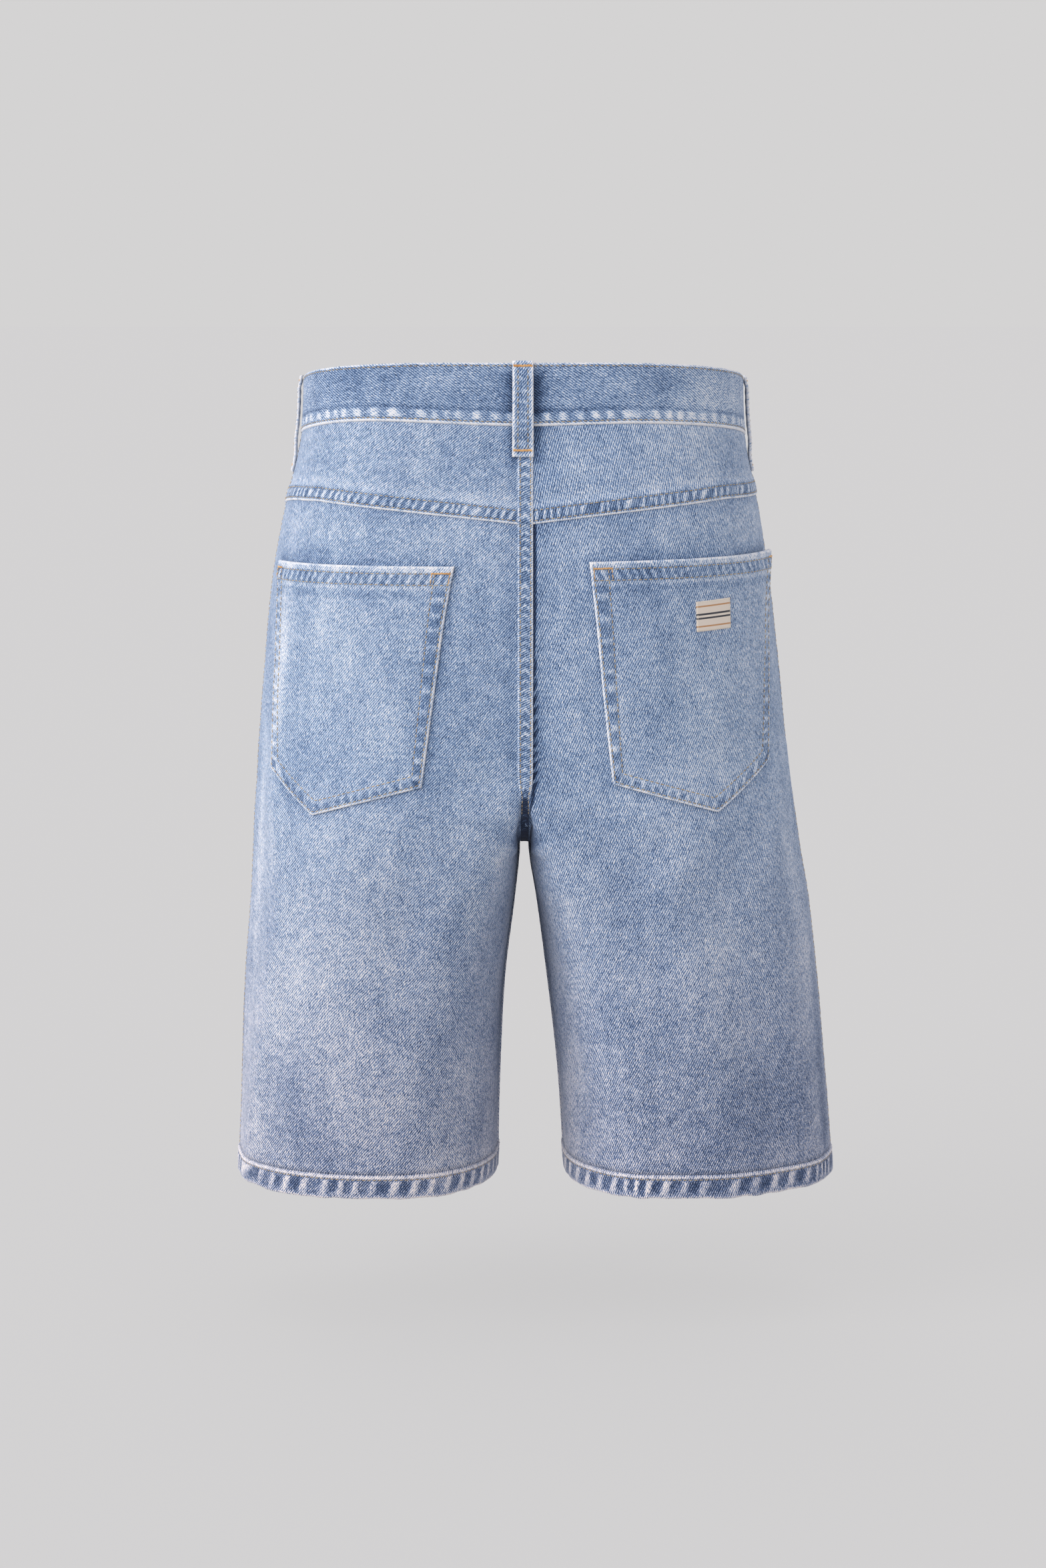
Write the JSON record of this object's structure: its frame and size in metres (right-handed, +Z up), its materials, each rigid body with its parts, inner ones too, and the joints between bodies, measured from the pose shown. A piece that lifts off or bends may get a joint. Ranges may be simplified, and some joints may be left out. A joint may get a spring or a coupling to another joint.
{
  "type": "denim shorts",
  "caption": "Knee-length jeans-style denim shorts in their worn, hollow form, with waistband, belt loops, back yoke and patch pockets.",
  "frame": {"origin": "middle of the waist opening, at the height of the waistband's top edge at the sides", "axes": "+Z up, towards the waist; -Y the front; +X the wearer's left"},
  "size_m": [0.4194, 0.2566, 0.5659],
  "materials": {
    "denim": "light-washed indigo denim, right-hand twill, worn pale at the seams",
    "woven_label": "cream woven label, no name on it",
    "copper": "aged copper-coloured tack button",
    "thread": "faded tan and gold sewing thread"
  },
  "bodies": {
    "root": {"back_left": "denim", "back_right": "denim", "front_left": "denim", "front_right": "denim", "yoke_left": "denim", "yoke_right": "denim", "pocket_facing_left": "denim", "pocket_facing_right": "denim", "back_pocket_left": "denim", "back_pocket_right": "denim", "hem_left": "denim", "hem_right": "denim", "waistband": "denim", "belt_loop_back": "denim", "belt_loop_side_left": "denim", "belt_loop_side_right": "denim", "belt_loop_front_left": "denim", "belt_loop_front_right": "denim", "fly_shield": "denim", "label": "woven_label", "button": "copper"}
  },
  "joints": []
}
